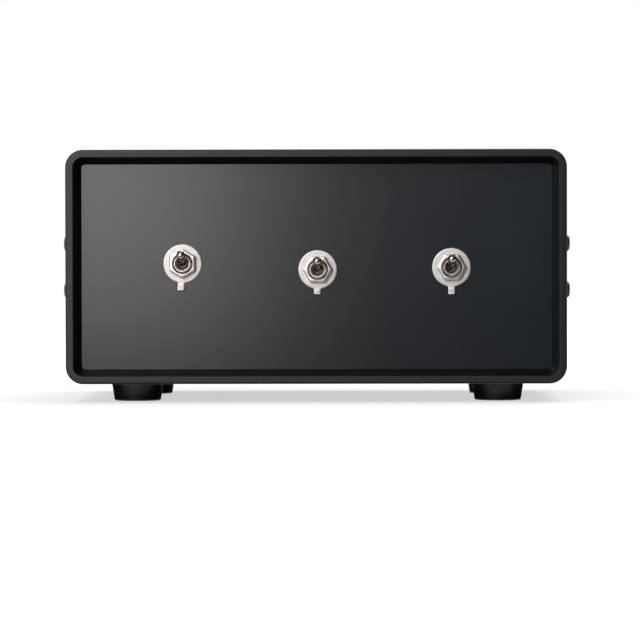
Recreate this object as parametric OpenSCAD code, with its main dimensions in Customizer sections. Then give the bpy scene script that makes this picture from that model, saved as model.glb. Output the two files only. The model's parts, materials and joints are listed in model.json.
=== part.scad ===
// Passive preamplifier in a small desktop case: three toggle switches in a recessed
// front panel, phono sockets at the rear and an attenuator board inside.
// Millimetres, +Z up, front towards -Y. The origin is under the middle of the whole
// part, on the surface that the feet stand on.

/* [Case] */
// Width of the case, without the screw heads
body_w = 154; // [130:1:200]
// Height of the case, without the feet
body_h = 72; // [60:1:100]
// Depth of the case, from the front bezel's face to the rear bezel's
body_d = 120; // [112:1:200]
// Radius of the case's long edges
corner_r = 5.4; // [5:0.1:8]
// Thickness of the top and bottom covers
cover_t = 1.2; // [0.8:0.1:1.6]
// How far the covers lie inside the bezels' outline
cover_inset = 0.15; // [0:0.05:0.4]
// Gap between the two covers at the middle of the sides
seam_gap = 0.15; // [0.1:0.05:0.5]

/* [Bezels and panels] */
// Width of a bezel's flat rim
rim_w = 2.4; // [2:0.1:2.6]
// How far the bezel's sloping inner wall leans inward
slope_w = 1.9; // [1.4:0.1:2.2]
// Depth of the panels behind the bezels' faces
recess = 10; // [6:0.5:11]
// Depth of a bezel that shows from the side
bezel_d = 12; // [11.5:0.5:16]
// Rounding of the rim's outer edge
edge_r = 0.6; // [0.2:0.1:1]
// Length of the spigot that goes under the covers
spigot_l = 8; // [7:0.5:12]
// Wall of the spigot
spigot_t = 1.6; // [1.2:0.1:1.8]
// Thickness of the front and rear panels
panel_t = 2; // [1.5:0.1:2.5]

/* [Side rails and screws] */
// Thickness of a side rail between the spigots
rail_t = 5; // [4:0.1:7]
// Height of a side rail
rail_h = 26; // [22:1:34]
// Distance between the two rows of cover screws
cover_screw_pitch = 14.4; // [11:0.1:18]
// Diameter of every machine screw
screw_d = 3; // [2.5:0.1:3.2]
// Length of a cover screw under its head
cover_screw_l = 6; // [5:0.1:6.2]
// Diameter of a pan head
head_d = 5.2; // [5:0.1:6]
// Height of a pan head
head_h = 1.7; // [1.4:0.1:2.2]
// Height of the low heads under the case's floor
low_head_h = 1.1; // [0.9:0.1:1.3]
// Width across the flats of the small hexagon nuts and spacers
hex_af = 5.5; // [5:0.1:6]
// Thickness of a foot nut
foot_nut_t = 2.4; // [1.8:0.1:3]

/* [Feet] */
// Height of a foot
foot_h = 5.8; // [5:0.1:10]
// Diameter of a foot at the case
foot_top_d = 16.3; // [15:0.1:20]
// Diameter of a foot at the ground
foot_base_d = 14.4; // [12.5:0.1:16]
// Distance from the case's side to the middle of a foot
foot_side = 20.6; // [16:0.1:26]
// Distance from the end of a bezel's spigot to the middle of a foot
foot_setback = 6; // [5:0.5:12]
// Thickness of a foot under its screw head
foot_web = 2.2; // [1.8:0.1:2.8]

/* [Toggle switches] */
// Distance between neighbouring switches
switch_pitch = 41.6; // [30:0.1:46]
// Height of the left switch above the panel's middle: the holes are drilled by hand
left_lift = 1; // [-2:0.1:2]
// Height of the centre switch above the panel's middle
centre_lift = -0.9; // [-2:0.1:2]
// Height of the right switch above the panel's middle
right_lift = -0.3; // [-2:0.1:2]
// How far the left switch stands to the right of its place
left_shift = 0.2; // [-1:0.05:1]
// How far the centre switch stands to the right of its place
centre_shift = 0.4; // [-1:0.05:1]
// How far the right switch stands to the right of its place
right_shift = 0.15; // [-1:0.05:1]
// Angle that each front nut is turned through
nut_turn = [30, 0, 1]; // [0:1:60]
// Angle that each lock washer is turned through
washer_turn = [-4, -1, 0]; // [-10:1:10]
// Angle that each washer's tab is bent forward
tab_bend = [20, 26, 24]; // [0:1:80]
// Diameter of the threaded bushing
bushing_d = 6; // [5.8:0.1:6.3]
// Length of the threaded bushing
bushing_l = 9; // [8.8:0.1:11]
// How far the bushing stands in front of its nut
bushing_proud = 1.4; // [0.8:0.1:2]
// Pitch of the bushing's thread
thread_pitch = 0.75; // [0.6:0.05:1]
// Width of a switch nut across its flats
switch_nut_af = 8; // [7.8:0.1:9]
// Thickness of a switch nut
switch_nut_t = 2; // [1.6:0.1:2.2]
// Diameter of a tabbed lock washer
washer_d = 12; // [11:0.1:14]
// Thickness of a tabbed lock washer
washer_t = 0.8; // [0.5:0.1:1]
// Width of the washer's tab
tab_w = 2.2; // [1.6:0.1:2.6]
// Length of each washer's tab past its bend
tab_l = [2, 1.3, 2]; // [1:0.1:3]
// Radius of the fillets where the tab leaves the washer
tab_fillet = 0.5; // [0.3:0.1:0.8]
// Radius of the corners at the tab's end
tab_corner = 0.5; // [0.3:0.1:0.8]
// Distance from the lever's pivot to the middle of its tip
lever_l = 13.1; // [11:0.1:16]
// Diameter of the lever's tip
lever_tip_d = 2.8; // [2.4:0.1:3.2]
// Diameter of the lever's neck above its ball
lever_neck_d = 1.8; // [1.6:0.1:2]
// Whole angle that a lever swings through
lever_angle = 22; // [16:1:24]
// Depth of the lever's pivot inside the bushing
pivot_depth = 4.6; // [4.2:0.1:4.8]
// Number of curls in a lever's spring
spring_curls = 3; // [2:0.5:3]
// Angle that the contact blades tip through
rocker_angle = 16; // [10:1:18]
// Width of a switch's housing
housing_w = 12.4; // [12:0.1:14]
// Height of a switch's housing
housing_h = 12; // [12:0.1:14]
// Depth of a switch's housing
housing_d = 9.5; // [9.2:0.1:12]
// Length of the terminals behind the housing
terminal_l = 4.5; // [3.5:0.1:6]

/* [Rear sockets] */
// Distance between neighbouring columns of sockets
socket_pitch_x = 40; // [26:1:46]
// Distance between the two rows of sockets
socket_pitch_z = 24; // [18:1:30]
// Outer diameter of a socket's barrel
barrel_d = 8.3; // [8.2:0.05:8.6]
// Length of a socket's barrel
barrel_l = 9; // [8:0.1:11]
// Diameter of the hole that takes the plug's pin
socket_bore_d = 3.3; // [3.2:0.05:3.5]
// Depth of the hole that takes the plug's pin
socket_bore_l = 8.4; // [7:0.1:8.8]
// Diameter of the socket's thread
socket_thread_d = 8; // [7.6:0.1:8.2]

/* [Attenuator board] */
// Width of the board
board_w = 94; // [74:1:100]
// Depth of the board
board_d = 50; // [40:1:56]
// Thickness of the board
board_t = 1.6; // [1:0.1:2.4]
// Height of the spacers under the board
spacer_l = 8; // [6:0.5:12]
// Number of resistors in a row
resistors_in_row = 6; // [3:1:6]
// Diameter of a wire
wire_d = 1.8; // [1.2:0.1:1.9]

/* [Fits] */
// Gap between pieces that fit together
fit = 0.1; // [0.05:0.01:0.15]
// Gap round a pin or screw in its own hole
pin_fit = 0.03; // [0.02:0.01:0.05]
// Gap round a screw in a through hole
screw_fit = 0.2; // [0.1:0.05:0.3]

/* [Hidden] */
$fn = 64;
// Overlap for cuts that go past a face
cut = 0.5;
columns = ["left", "centre", "right"];
column_x = [left_shift - switch_pitch, centre_shift, right_shift + switch_pitch];
switch_lift = [left_lift, centre_lift, right_lift];

// Heights
mid_z = foot_h + body_h / 2;
floor_z = foot_h + cover_inset + cover_t;

// Insets from the case's outline, from the outside inward
cover_inner = cover_inset + cover_t;
spigot_outer = cover_inner + fit;
spigot_inner = spigot_outer + spigot_t;
panel_edge = spigot_inner + fit;
rail_end_outer = spigot_inner + fit;
rail_inner = spigot_outer + rail_t;

// Levels of a switch along its axis, from the panel's front face, positive outward
nut_top = washer_t + switch_nut_t;
mouth = nut_top + bushing_proud;
pivot = mouth - pivot_depth;
frame_front = mouth - bushing_l;
frame_t = 1;
frame_back = frame_front - frame_t;
housing_back = frame_back - housing_d;
terminal_end = housing_back - terminal_l;

// The lever below its ball, and what it carries
ball_r = 1.7;
stem_r = 1.2;
// How far the stem reaches behind the frame plate
stem_out = 0.2;
stem_end = frame_back - pivot - stem_out;
plunger_r = 0.75;
plunger_l = 1.8;
plunger_bore_l = 4.2;
spring_r = 0.5;
spring_wire_d = 0.25;
spring_seat = 0.05;
crossbar_r = 0.9;
crossbar_gap = 0.3;
crossbar_level = stem_end - crossbar_gap - crossbar_r;
crossbar_l = 7.6;
pin_r = 0.5;
seat_half = 1;
seat_r = ball_r + fit;
// The bushing's bore clears the tilted lever by this much at both ends
swing_gap = 0.2;
half_swing = lever_angle / 2;
neck_at_mouth = lever_neck_d / 2 + (lever_tip_d - lever_neck_d) / 2 * pivot_depth / lever_l;
mouth_r = pivot_depth * tan(half_swing) + neck_at_mouth / cos(half_swing) + swing_gap;
flare_r = (pivot - frame_back) * tan(half_swing) + stem_r / cos(half_swing) + swing_gap;

// Contact blades and terminals of a switch
pole_x = 2.4;
blade_t = 0.5;
blade_w = 2.4;
blade_half = 4.6;
blade_gap = 0.25;
// The round rib under a blade, which rocks on the middle terminal
rib_r = 0.4;
half_rock = rocker_angle / 2;
rocker_axis = pivot + crossbar_level - crossbar_r - blade_gap - blade_t / 2;
terminal_pitch = 4.2;
terminal_w = 0.8;
terminal_h = 1.6;
contact_gap = 0.15;
middle_post = rocker_axis - rib_r - contact_gap;
end_post = rocker_axis - blade_t / 2 / cos(half_rock)
    - (blade_half + blade_t) * tan(half_rock) - contact_gap;
housing_floor = 2;
housing_wall = 0.8;

// Levels of a socket along its axis, from the rear panel's outer face, positive outward
ring_t = 1.4;
flange_t = 2;
flange_d = 11.5;
flange_top = ring_t + flange_t;
socket_mouth = flange_top + barrel_l;
contact_set = 0.6;
contact_mouth = socket_mouth - contact_set;
inner_ring_t = 0.8;
tag_t = 0.5;
socket_nut_t = 2.4;
socket_nut_af = 11;
thread_spare = 2;
thread_end = -panel_t - inner_ring_t - tag_t - socket_nut_t - thread_spare;
tail_l = 4.5;
tail_r = 1;
tail_end = thread_end - tail_l;
shoulder_t = 0.7;
shoulder_r = socket_thread_d / 2 + fit + shoulder_t;
barrel_t = 0.9;
shell_bore_r = barrel_d / 2 - barrel_t;
contact_t = 0.5;
contact_r = socket_bore_d / 2 + contact_t;

// Depths
lever_reach = pivot + lever_l * cos(half_swing) + lever_tip_d / 2;
lever_out = max(0, lever_reach - recess);
socket_out = max(0, socket_mouth - recess);
front_y = lever_out - (body_d + lever_out + socket_out) / 2;
rear_y = front_y + body_d;
mid_y = (front_y + rear_y) / 2;
front_panel_y = front_y + recess;
rear_panel_y = rear_y - recess;
screw_line = bezel_d + spigot_l / 2;
foot_inset = bezel_d + spigot_l + foot_setback;
foot_x = body_w / 2 - foot_side;

// Attenuator board
board_z = floor_z + spacer_l;
board_top = board_z + board_t;
board_hole_inset = 4;
// How far a screw goes into a spacer from either end
spacer_bite = 0.4 * spacer_l;
resistor_r = 1.15;
resistor_l = 6.3;
resistor_span = 10.2;
resistor_pitch = 11;
row_pitch = 15;
lead_r = 0.3;
lead_stub = 1.2;

// Wires: how far inside the board's edge they land, and how far they run straight at each end
near_landing = 3;
far_landing = 8;
low_leave = 6;
high_leave = 14;
low_drop = 9;
high_drop = 14;
head_gap = 0.8;
foot_recess_r = head_d / 2 + head_gap;

black = [0.09, 0.09, 0.1];
panel_black = [0.14, 0.14, 0.15];
nickel = [0.8, 0.78, 0.74];
chrome = [0.75, 0.76, 0.78];
brass = [0.83, 0.66, 0.32];

// Placing

// Draws in the plane of a face: local x is X, local y is Z and local z points to the front
module facing_front(x, y, z) {
    translate([x, y, z]) rotate([90, 0, 0]) children();
}

// As above, with local z pointing to the rear
module facing_rear(x, y, z) {
    translate([x, y, z]) rotate([-90, 0, 0]) children();
}

// The frame of one switch: its origin is on the panel's front face, on the bushing's axis
module at_switch(i) {
    facing_front(column_x[i], front_panel_y, mid_z + switch_lift[i]) children();
}

// The frame of one socket: column 0 to 2, and row 0 (low) or 1 (high)
function socket_x(column) = (column - 1) * socket_pitch_x;
function socket_z(row) = mid_z + (row - 0.5) * socket_pitch_z;
module at_socket(column, row) {
    facing_rear(socket_x(column), rear_panel_y, socket_z(row)) children();
}

module at_each_socket() {
    for (column = [0:2], row = [0, 1]) at_socket(column, row) children();
}

module at_each_foot() {
    for (sx = [-1, 1], y = [front_y + foot_inset, rear_y - foot_inset])
        translate([sx * foot_x, y, 0]) children();
}

module at_board_holes(z) {
    for (sx = [-1, 1], sy = [-1, 1])
        translate([sx * (board_w / 2 - board_hole_inset),
                   mid_y + sy * (board_d / 2 - board_hole_inset), z]) children();
}

// Cover screws: sx is the side, sy the end and sz the cover. Local z points out of the side
module at_cover_screw(sx, sy, sz) {
    y = sy < 0 ? front_y + screw_line : rear_y - screw_line;
    translate([sx * (body_w / 2 - cover_inset), y, mid_z + sz * cover_screw_pitch / 2])
        rotate([0, sx * 90, 0]) children();
}

// Shared shapes

// The case's rounded outline, moved inward
module case_outline(inset) {
    r = corner_r - inset;
    w = body_w - 2 * inset;
    h = body_h - 2 * inset;
    square([w - 2 * r, h], center = true);
    square([w, h - 2 * r], center = true);
    for (sx = [-1, 1], sy = [-1, 1])
        translate([sx * (w / 2 - r), sy * (h / 2 - r)]) circle(r);
}

// A solid with the case's rounded outline, whose inset from that outline follows a profile
// of [inset, level] points
module outline_solid(profile) {
    first = profile[0][1];
    last = profile[len(profile) - 1][1];
    straight_w = body_w - 2 * corner_r;
    straight_h = body_h - 2 * corner_r;
    function half_section(half) = concat(
        [[0, first]],
        [for (p = profile) [half - p[0], p[1]]],
        [[0, last]]);
    function whole_section(half) = concat(
        [for (p = profile) [half - p[0], p[1]]],
        [for (k = [len(profile) - 1:-1:0]) [profile[k][0] - half, profile[k][1]]]);
    for (sx = [-1, 1], sy = [-1, 1])
        translate([sx * straight_w / 2, sy * straight_h / 2, 0])
            rotate_extrude() polygon(half_section(corner_r));
    translate([-straight_w / 2, 0, 0]) rotate([90, 0, 90])
        linear_extrude(straight_w) polygon(whole_section(body_h / 2));
    translate([0, straight_h / 2, 0]) rotate([90, 0, 0])
        linear_extrude(straight_h) polygon(whole_section(body_w / 2));
}

// A hexagon nut with a round bore and chamfered corners on its outer face
module hex_nut(af, t, bore_r) {
    corner = af / 2 / cos(30);
    chamfer_h = 0.3;
    difference() {
        intersection() {
            cylinder(h = t, r = corner, $fn = 6);
            union() {
                cylinder(h = t - chamfer_h, r = corner + cut);
                translate([0, 0, t - chamfer_h])
                    cylinder(h = chamfer_h, r1 = corner, r2 = af / 2 - 0.1);
            }
        }
        translate([0, 0, -cut]) cylinder(h = t + 2 * cut, r = bore_r);
    }
}

// A closed tube round a path, from the path's points and directions. aside is a fixed
// direction that the path never follows
module tube(path, slopes, aside, r, sides) {
    rings = len(path) - 1;
    points = [for (k = [0:rings])
        let (along = slopes[k] / norm(slopes[k]),
             across = cross(along, aside) / norm(cross(along, aside)),
             third = cross(along, across))
        for (s = [0:sides - 1])
            path[k] + r * (cos(s * 360 / sides) * across + sin(s * 360 / sides) * third)];
    faces = concat(
        [[for (s = [0:sides - 1]) s]],
        [for (k = [0:rings - 1], s = [0:sides - 1], half = [0, 1])
            let (a = k * sides + s, b = k * sides + (s + 1) % sides)
            half == 0 ? [a, a + sides, b] : [b, a + sides, b + sides]],
        [[for (s = [sides - 1:-1:0]) rings * sides + s]]);
    polyhedron(points, faces);
}

// A machine screw whose pan head sits on local z = 0, with its shank below
module pan_screw(length, height = head_h) {
    straight = height * 0.35;
    dome_r = head_d / 2;
    steps = 6;
    slot_w = 0.7;
    slot_l = 2.8;
    difference() {
        union() {
            rotate_extrude() polygon(concat(
                [[0, 0], [dome_r, 0]],
                [for (k = [0:steps])
                    [dome_r * (0.5 + 0.5 * cos(k * 90 / steps)),
                     straight + (height - straight) * sin(k * 90 / steps)]],
                [[0, height]]));
            translate([0, 0, -length]) cylinder(h = length + cut, r = screw_d / 2);
        }
        for (turn = [0, 90]) rotate(turn)
            translate([-slot_l / 2, -slot_w / 2, height * 0.4]) cube([slot_l, slot_w, height]);
    }
}

// The hole that a screw passes through, from local z = 0 downward
module through_hole(depth) {
    translate([0, 0, -depth - cut]) cylinder(h = depth + 2 * cut, r = screw_d / 2 + screw_fit);
}

// Case

// One bezel, its face at local z = 0: rim, sloping wall, panel seat and cover spigot
module bezel(turn, y) {
    steps = 4;
    back = -bezel_d - spigot_l;
    slope = slope_w / recess;
    difference() {
        translate([0, y, mid_z]) rotate([0, 0, turn]) rotate([90, 0, 0]) difference() {
            outline_solid(concat(
                [for (k = [0:steps])
                    [edge_r * (1 - sin(k * 90 / steps)), edge_r * (cos(k * 90 / steps) - 1)]],
                [[0, -bezel_d], [spigot_outer, -bezel_d], [spigot_outer, back]]));
            outline_solid([
                [rim_w - slope * cut, cut], [rim_w + slope_w, -recess],
                [spigot_inner, -recess], [spigot_inner, back - cut]]);
        }
        for (sx = [-1, 1], sy = [-1, 1], sz = [-1, 1]) at_cover_screw(sx, sy, sz)
            through_hole(spigot_inner);
    }
}

module front_bezel() {
    color(black) bezel(0, front_y);
}

module rear_bezel() {
    color(black) bezel(180, rear_y);
}

module panel_plate() {
    linear_extrude(panel_t) case_outline(panel_edge);
}

module front_panel() {
    color(panel_black) difference() {
        facing_front(0, front_panel_y + panel_t, mid_z) panel_plate();
        for (i = [0:2]) at_switch(i) translate([0, 0, -panel_t - cut])
            cylinder(h = panel_t + 2 * cut, r = bushing_d / 2 + fit);
    }
}

module rear_panel() {
    color(panel_black) difference() {
        facing_rear(0, rear_panel_y - panel_t, mid_z) panel_plate();
        at_each_socket() translate([0, 0, -panel_t - cut])
            cylinder(h = panel_t + 2 * cut, r = shoulder_r + fit);
    }
}

// A U-shaped cover from the seam at mid height outward: up is 1 for the top and -1 for the bottom
module cover_shell(up) {
    length = body_d - 2 * bezel_d - 2 * fit;
    difference() {
        facing_front(0, rear_y - bezel_d - fit, mid_z) linear_extrude(length) difference() {
            intersection() {
                case_outline(cover_inset);
                translate([0, up * (body_h + seam_gap) / 2]) square([body_w + cut, body_h], center = true);
            }
            case_outline(cover_inner);
        }
        for (sx = [-1, 1], sy = [-1, 1]) at_cover_screw(sx, sy, up)
            through_hole(cover_inner);
    }
}

module top_cover() {
    color(black) cover_shell(1);
}

module bottom_cover() {
    color(black) difference() {
        cover_shell(-1);
        at_each_foot() translate([0, 0, floor_z]) through_hole(floor_z);
        at_board_holes(floor_z) through_hole(floor_z);
    }
}

// A bar along one side: thick between the spigots, thinner inside them, its ends against the panels
module side_rail(sx) {
    near = front_panel_y + panel_t + fit;
    far = rear_panel_y - panel_t - fit;
    thick_near = front_y + bezel_d + spigot_l + fit;
    thick_far = rear_y - bezel_d - spigot_l - fit;
    inner = body_w / 2 - rail_inner;
    function span_x(outer_inset) = body_w / 2 - outer_inset - inner;
    color("silver") difference() {
        mirror([sx < 0 ? 1 : 0, 0, 0]) {
            translate([inner, near, mid_z - rail_h / 2]) cube([span_x(rail_end_outer), far - near, rail_h]);
            translate([inner, thick_near, mid_z - rail_h / 2])
                cube([span_x(spigot_outer), thick_far - thick_near, rail_h]);
        }
        for (sy = [-1, 1], sz = [-1, 1]) at_cover_screw(sx, sy, sz)
            translate([0, 0, -rail_inner - cut]) cylinder(h = rail_inner + cut, r = screw_d / 2 + pin_fit);
    }
}

module left_side_rail() {
    side_rail(-1);
}

module right_side_rail() {
    side_rail(1);
}

module cover_screws() {
    color(black) for (sx = [-1, 1], sy = [-1, 1], sz = [-1, 1])
        at_cover_screw(sx, sy, sz) pan_screw(cover_screw_l);
}

// Feet

// A tapered foot with a rounded lower edge and a recess for its screw
module foot(sx, y) {
    round_r = 0.45;
    steps = 5;
    top_r = foot_top_d / 2;
    base_r = foot_base_d / 2;
    lean = (top_r - base_r) / foot_h;
    color([0.05, 0.05, 0.06]) translate([sx * foot_x, y, 0]) difference() {
        rotate_extrude() polygon(concat(
            [[0, 0], [base_r - round_r, 0]],
            [for (k = [1:steps])
                [base_r - round_r + (round_r + lean * round_r) * sin(k * 90 / steps),
                 round_r * (1 - cos(k * 90 / steps))]],
            [[top_r, foot_h + cover_inset], [0, foot_h + cover_inset]]));
        translate([0, 0, floor_z]) through_hole(floor_z);
        translate([0, 0, -cut]) cylinder(h = foot_h + cover_inset - foot_web + cut, r = foot_recess_r);
    }
}

module front_left_foot() {
    foot(-1, front_y + foot_inset);
}

module front_right_foot() {
    foot(1, front_y + foot_inset);
}

module rear_left_foot() {
    foot(-1, rear_y - foot_inset);
}

module rear_right_foot() {
    foot(1, rear_y - foot_inset);
}

module foot_screws() {
    seat = foot_h + cover_inset - foot_web;
    length = foot_web + cover_t + foot_nut_t;
    color(nickel) at_each_foot() translate([0, 0, seat]) rotate([180, 0, 0]) pan_screw(length);
}

module foot_nuts() {
    color(nickel) at_each_foot() translate([0, 0, floor_z])
        hex_nut(hex_af, foot_nut_t, screw_d / 2 + pin_fit);
}

// Toggle switches

// Threaded bushing with its keyway, bore and frame plate, whose two legs hold the housing
module switch_bushing(i) {
    root_r = bushing_d / 2 - 0.35;
    chamfer = 0.35;
    threads = floor((bushing_l - 2 * chamfer) / thread_pitch);
    leg_t = 0.5;
    leg_w = 8;
    leg_l = 5;
    key_w = 1;
    key_depth = 0.5;
    color(nickel) at_switch(i) difference() {
        union() {
            rotate_extrude() polygon(concat(
                [[0, mouth], [root_r, mouth]],
                [for (k = [0:threads - 1], s = [0, 1])
                    [s == 0 ? bushing_d / 2 : root_r, mouth - chamfer - (k + s / 2) * thread_pitch]],
                [[bushing_d / 2, mouth - chamfer - threads * thread_pitch],
                 [bushing_d / 2, frame_back], [0, frame_back]]));
            translate([-housing_w / 2, -housing_h / 2 - leg_t, frame_back])
                cube([housing_w, housing_h + 2 * leg_t, frame_t]);
            for (sy = [-1, 1]) translate([0, sy * (housing_h + leg_t) / 2, frame_back - leg_l / 2])
                cube([leg_w, leg_t, leg_l], center = true);
        }
        rotate_extrude() polygon([
            [0, mouth + cut],
            [mouth_r + (mouth_r - seat_r) * cut / (pivot_depth - seat_half), mouth + cut],
            [seat_r, pivot + seat_half], [seat_r, pivot - seat_half],
            [flare_r, frame_back - cut], [0, frame_back - cut]]);
        translate([-key_w / 2, -bushing_d / 2 - cut, frame_front])
            cube([key_w, key_depth + cut, bushing_l + cut]);
        translate([-bushing_d, 0, pivot]) rotate([0, 90, 0])
            cylinder(h = 2 * bushing_d, r = pin_r + pin_fit);
    }
}

// Moulded housing: a box open to the frame plate, with slots for the terminals in its floor
module switch_housing(i) {
    color([0.12, 0.2, 0.42]) at_switch(i) difference() {
        translate([0, 0, housing_back]) linear_extrude(housing_d - fit)
            square([housing_w, housing_h - 2 * fit], center = true);
        translate([0, 0, housing_back + housing_floor]) linear_extrude(housing_d)
            square([housing_w - 2 * housing_wall, housing_h - 2 * housing_wall], center = true);
        for (sx = [-1, 1], row = [-1:1]) translate([sx * pole_x, row * terminal_pitch, housing_back - cut])
            linear_extrude(housing_floor + 2 * cut)
                square([terminal_w + 2 * pin_fit, terminal_h + 2 * pin_fit], center = true);
    }
}

// Six solder lugs, whose inner ends are the fixed contacts
module switch_terminals(i) {
    eye_r = 0.45;
    color("silver") at_switch(i) for (sx = [-1, 1], row = [-1:1])
        translate([sx * pole_x, row * terminal_pitch, terminal_end]) difference() {
            linear_extrude((row == 0 ? middle_post : end_post) - terminal_end)
                square([terminal_w, terminal_h], center = true);
            translate([-terminal_w, 0, 3 * eye_r]) rotate([0, 90, 0])
                cylinder(h = 2 * terminal_w, r = eye_r);
        }
}

// The frame of one lever at rest, tilted up: its origin is on the pivot
module at_lever(i) {
    at_switch(i) translate([0, 0, pivot]) rotate([-half_swing, 0, 0]) children();
}

// Bat lever with its pivot ball, and a hollow stem below
module switch_lever(i) {
    tip_r = lever_tip_d / 2;
    neck_r = lever_neck_d / 2;
    color(chrome) at_lever(i) difference() {
        union() {
            translate([0, 0, stem_end]) cylinder(h = -stem_end, r = stem_r);
            sphere(ball_r);
            cylinder(h = lever_l, r1 = neck_r, r2 = tip_r);
            translate([0, 0, lever_l]) sphere(tip_r);
        }
        translate([-ball_r - cut, 0, 0]) rotate([0, 90, 0])
            cylinder(h = 2 * ball_r + 2 * cut, r = pin_r + pin_fit);
        translate([0, 0, stem_end - cut]) cylinder(h = plunger_bore_l + cut, r = plunger_r + pin_fit);
    }
}

module switch_pivot_pin(i) {
    length = bushing_d - 1;
    color("silver") at_switch(i) translate([-length / 2, 0, pivot]) rotate([0, 90, 0])
        cylinder(h = length, r = pin_r);
}

// Nylon plunger in the lever's stem, with a crossbar that presses on both contact blades
module switch_plunger(i) {
    color("ivory") at_lever(i) {
        translate([0, 0, crossbar_level])
            cylinder(h = stem_end + plunger_l - crossbar_level, r = plunger_r);
        translate([-crossbar_l / 2, 0, crossbar_level]) rotate([0, 90, 0])
            cylinder(h = crossbar_l, r = crossbar_r);
    }
}

// Coiled spring between the plunger and the top of the lever's bore
module switch_spring(i) {
    rings_per_curl = 8;
    rings = spring_curls * rings_per_curl;
    seat = spring_wire_d / 2 + spring_seat;
    low = stem_end + plunger_l + seat;
    rise = plunger_bore_l - plunger_l - 2 * seat;
    color("silver") at_lever(i) tube(
        [for (k = [0:rings])
            [spring_r * cos(k * 360 / rings_per_curl), spring_r * sin(k * 360 / rings_per_curl),
             low + rise * k / rings]],
        [for (k = [0:rings])
            [-spring_r * sin(k * 360 / rings_per_curl), spring_r * cos(k * 360 / rings_per_curl),
             rise / spring_curls / 360 * 180 / PI]],
        [0, 0, 1], spring_wire_d / 2, 6);
}

// The two contact blades with their ribs, tipped the way the lever holds them at rest
module switch_contact_blades(i) {
    color(brass) at_switch(i) for (sx = [-1, 1]) translate([sx * pole_x, 0, rocker_axis])
        rotate([half_rock, 0, 0]) {
            cube([blade_w, 2 * blade_half, blade_t], center = true);
            intersection() {
                rotate([0, 90, 0]) cylinder(h = blade_w, r = rib_r, center = true);
                translate([0, 0, -rib_r]) cube([blade_w + cut, 4 * rib_r, 2 * rib_r], center = true);
            }
        }
}

module switch_front_nuts() {
    color(nickel) for (i = [0:2]) at_switch(i) translate([0, 0, washer_t]) rotate(nut_turn[i])
        hex_nut(switch_nut_af, switch_nut_t, bushing_d / 2 + pin_fit);
}

module switch_back_nuts() {
    color(nickel) for (i = [0:2]) at_switch(i) translate([0, 0, -panel_t]) rotate([180, 0, 0])
        hex_nut(switch_nut_af, switch_nut_t, bushing_d / 2 + pin_fit);
}

// Flat washer with a tab at its lower edge, bent forward past a filleted neck
module lock_washer(bend, length) {
    washer_r = washer_d / 2;
    half_t = washer_t / 2;
    fillet_x = tab_w / 2 + tab_fillet;
    fillet_y = -sqrt(pow(washer_r + tab_fillet, 2) - pow(fillet_x, 2));
    on_rim = washer_r / (washer_r + tab_fillet);
    bend_y = fillet_y - 0.1;
    corner_x = tab_w / 2 - tab_corner;
    difference() {
        linear_extrude(washer_t) {
            circle(washer_r);
            translate([-tab_w / 2, bend_y]) square([tab_w, -bend_y]);
            for (turn = [0, 1]) mirror([turn, 0]) difference() {
                polygon([[0, fillet_y / 2], [on_rim * fillet_x, on_rim * fillet_y],
                         [fillet_x, fillet_y], [0, fillet_y]]);
                translate([fillet_x, fillet_y]) circle(tab_fillet);
            }
        }
        translate([0, 0, -cut]) cylinder(h = washer_t + 2 * cut, r = bushing_d / 2 + fit);
    }
    translate([-tab_w / 2, bend_y, half_t]) rotate([0, 90, 0]) cylinder(h = tab_w, r = half_t);
    translate([0, bend_y, half_t]) rotate([-bend, 0, 0]) translate([0, 0, -half_t])
        linear_extrude(washer_t) {
            translate([-tab_w / 2, tab_corner - length]) square([tab_w, length - tab_corner]);
            translate([-corner_x, -length]) square([2 * corner_x, length]);
            for (sx = [-1, 1]) translate([sx * corner_x, tab_corner - length]) circle(tab_corner);
        }
}

module switch_lock_washers() {
    color(nickel) for (i = [0:2]) at_switch(i) rotate(washer_turn[i]) lock_washer(tab_bend[i], tab_l[i]);
}

// Rear sockets

// Metal body of one socket: barrel, flange and thread round a plain bore
module socket_shell() {
    difference() {
        union() {
            translate([0, 0, thread_end]) cylinder(h = ring_t - thread_end + cut, r = socket_thread_d / 2);
            translate([0, 0, ring_t]) cylinder(h = flange_t, r = flange_d / 2);
            translate([0, 0, flange_top - cut]) cylinder(h = barrel_l + cut, r = barrel_d / 2);
        }
        translate([0, 0, thread_end - cut])
            cylinder(h = socket_mouth - thread_end + 2 * cut, r = shell_bore_r);
    }
}

module socket_pair(column) {
    color(nickel) for (row = [0, 1]) at_socket(column, row) socket_shell();
}

module input_one_sockets() {
    socket_pair(0);
}

module input_two_sockets() {
    socket_pair(1);
}

module output_sockets() {
    socket_pair(2);
}

// Coloured shoulder ring outside the panel and a plain ring inside it
module insulator_rings(row) {
    ring_r = 6.3;
    bore_r = socket_thread_d / 2 + fit;
    for (column = [0:2]) at_socket(column, row) {
        difference() {
            union() {
                cylinder(h = ring_t, r = ring_r);
                translate([0, 0, fit - panel_t]) cylinder(h = panel_t, r = shoulder_r);
            }
            translate([0, 0, -panel_t - cut]) cylinder(h = panel_t + ring_t + 2 * cut, r = bore_r);
        }
        translate([0, 0, -panel_t - inner_ring_t]) difference() {
            cylinder(h = inner_ring_t, r = ring_r);
            translate([0, 0, -cut]) cylinder(h = inner_ring_t + 2 * cut, r = bore_r);
        }
    }
}

module white_insulator_rings() {
    color("whitesmoke") insulator_rings(1);
}

module red_insulator_rings() {
    color("firebrick") insulator_rings(0);
}

module socket_insulators() {
    color("white") at_each_socket() difference() {
        translate([0, 0, thread_end]) cylinder(h = contact_mouth - thread_end, r = shell_bore_r - pin_fit);
        translate([0, 0, thread_end - cut])
            cylinder(h = contact_mouth - thread_end + 2 * cut, r = contact_r + pin_fit);
    }
}

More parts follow.
